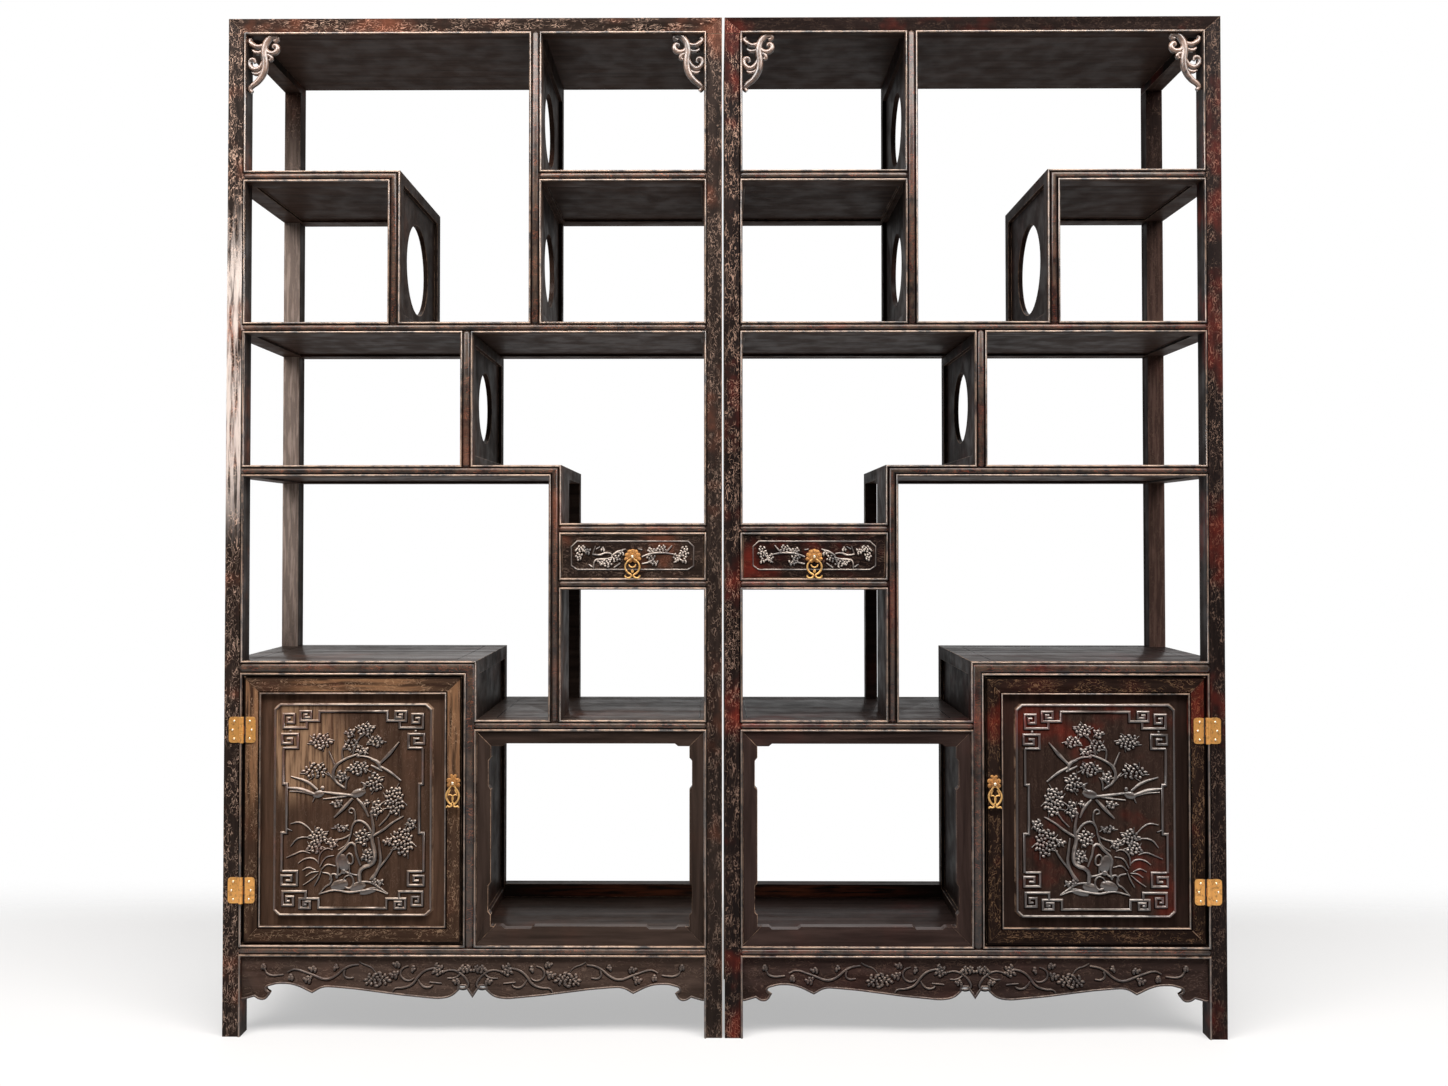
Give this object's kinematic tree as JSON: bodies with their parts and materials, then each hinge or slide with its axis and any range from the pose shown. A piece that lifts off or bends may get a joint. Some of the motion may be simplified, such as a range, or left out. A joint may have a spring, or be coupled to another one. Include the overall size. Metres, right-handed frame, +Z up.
{
  "type": "carved display shelf",
  "caption": "Mirrored pair of dark carved hardwood display cabinets with stepped open shelves, pierced dividers, a carved cupboard door, a drawer and brass fittings.",
  "frame": {"origin": "centre of the pair's footprint on the floor, at the middle of its overall width and depth", "axes": "+Z up, +X to the viewer's right, -Y out of the carved front"},
  "size_m": [1.937, 0.3712, 1.98],
  "materials": {
    "post_wood": "near-black lacquer with red-brown wear and fine pale crackle",
    "frame_wood": "dark satin lacquer, rubbed pale along the beads",
    "board_wood": "dark oiled boards with soft grain",
    "carved_wood": "dark carved wood with worn highlights",
    "door_wood": "dark satin lacquer with red-brown wear",
    "brass": "aged golden brass"
  },
  "bodies": {
    "cabinets": {"left_apron": "carved_wood", "left_bay_frame": "frame_wood", "left_box_step": "frame_wood", "left_cupboard_back": "board_wood", "left_cupboard_side": "board_wood", "left_cupboard_step": "frame_wood", "left_drawer_case": "frame_wood", "left_drawer_step": "frame_wood", "left_floor_frame": "frame_wood", "left_hinge_lower_post_leaf": "brass", "left_hinge_upper_post_leaf": "brass", "left_middle_divider": "frame_wood", "left_post_back_inner": "post_wood", "left_post_back_outer": "post_wood", "left_post_front_inner": "post_wood", "left_post_front_outer": "post_wood", "left_shelf_lower": "frame_wood", "left_shelf_main": "frame_wood", "left_shelf_upper": "frame_wood", "left_top_frame": "post_wood", "left_upper_divider": "frame_wood", "right_apron": "carved_wood", "right_bay_frame": "frame_wood", "right_box_step": "frame_wood", "right_cupboard_back": "board_wood", "right_cupboard_side": "board_wood", "right_cupboard_step": "frame_wood", "right_drawer_case": "frame_wood", "right_drawer_step": "frame_wood", "right_floor_frame": "frame_wood", "right_hinge_lower_post_leaf": "brass", "right_hinge_upper_post_leaf": "brass", "right_middle_divider": "frame_wood", "right_post_back_inner": "post_wood", "right_post_back_outer": "post_wood", "right_post_front_inner": "post_wood", "right_post_front_outer": "post_wood", "right_shelf_lower": "frame_wood", "right_shelf_main": "frame_wood", "right_shelf_upper": "frame_wood", "right_top_frame": "post_wood", "right_upper_divider": "frame_wood"},
    "left_door": {"left_door_frame": "door_wood", "left_door_panel": "carved_wood", "left_hinge_upper_door_leaf": "brass", "left_hinge_lower_door_leaf": "brass", "left_door_pull_plate": "brass"},
    "left_door_pendant": {"left_door_pull_pendant": "brass"},
    "left_drawer": {"left_drawer": "carved_wood", "left_drawer_pull_plate": "brass"},
    "left_drawer_pendant": {"left_drawer_pull_pendant": "brass"},
    "right_door": {"right_door_frame": "door_wood", "right_door_panel": "carved_wood", "right_hinge_upper_door_leaf": "brass", "right_hinge_lower_door_leaf": "brass", "right_door_pull_plate": "brass"},
    "right_door_pendant": {"right_door_pull_pendant": "brass"},
    "right_drawer": {"right_drawer": "carved_wood", "right_drawer_pull_plate": "brass"},
    "right_drawer_pendant": {"right_drawer_pull_pendant": "brass"}
  },
  "joints": [
    {"name": "left_door_hinge", "type": "hinge", "parent": "cabinets", "child": "left_door", "pos_m": [-0.9327, -0.179, 0.4367], "axis": [0, 0, -1], "range_deg": [0, 170]},
    {"name": "left_door_pendant_swing", "type": "hinge", "parent": "left_door", "child": "left_door_pendant", "pos_m": [-0.5225, -0.1829, 0.49], "axis": [-1, 0, 0], "range_deg": [0, 75]},
    {"name": "left_drawer_slide", "type": "slide", "parent": "cabinets", "child": "left_drawer", "axis": [0, -1, 0], "range_m": [0, 0.24]},
    {"name": "left_drawer_pendant_swing", "type": "hinge", "parent": "left_drawer", "child": "left_drawer_pendant", "pos_m": [-0.176, -0.1819, 0.9272], "axis": [-1, 0, 0], "range_deg": [0, 75]},
    {"name": "right_door_hinge", "type": "hinge", "parent": "cabinets", "child": "right_door", "pos_m": [0.9327, -0.179, 0.4367], "axis": [0, 0, 1], "range_deg": [0, 170]},
    {"name": "right_door_pendant_swing", "type": "hinge", "parent": "right_door", "child": "right_door_pendant", "pos_m": [0.5225, -0.1829, 0.49], "axis": [-1, 0, 0], "range_deg": [0, 75]},
    {"name": "right_drawer_slide", "type": "slide", "parent": "cabinets", "child": "right_drawer", "axis": [0, -1, 0], "range_m": [0, 0.24]},
    {"name": "right_drawer_pendant_swing", "type": "hinge", "parent": "right_drawer", "child": "right_drawer_pendant", "pos_m": [0.176, -0.1819, 0.9272], "axis": [-1, 0, 0], "range_deg": [0, 75]}
  ]
}
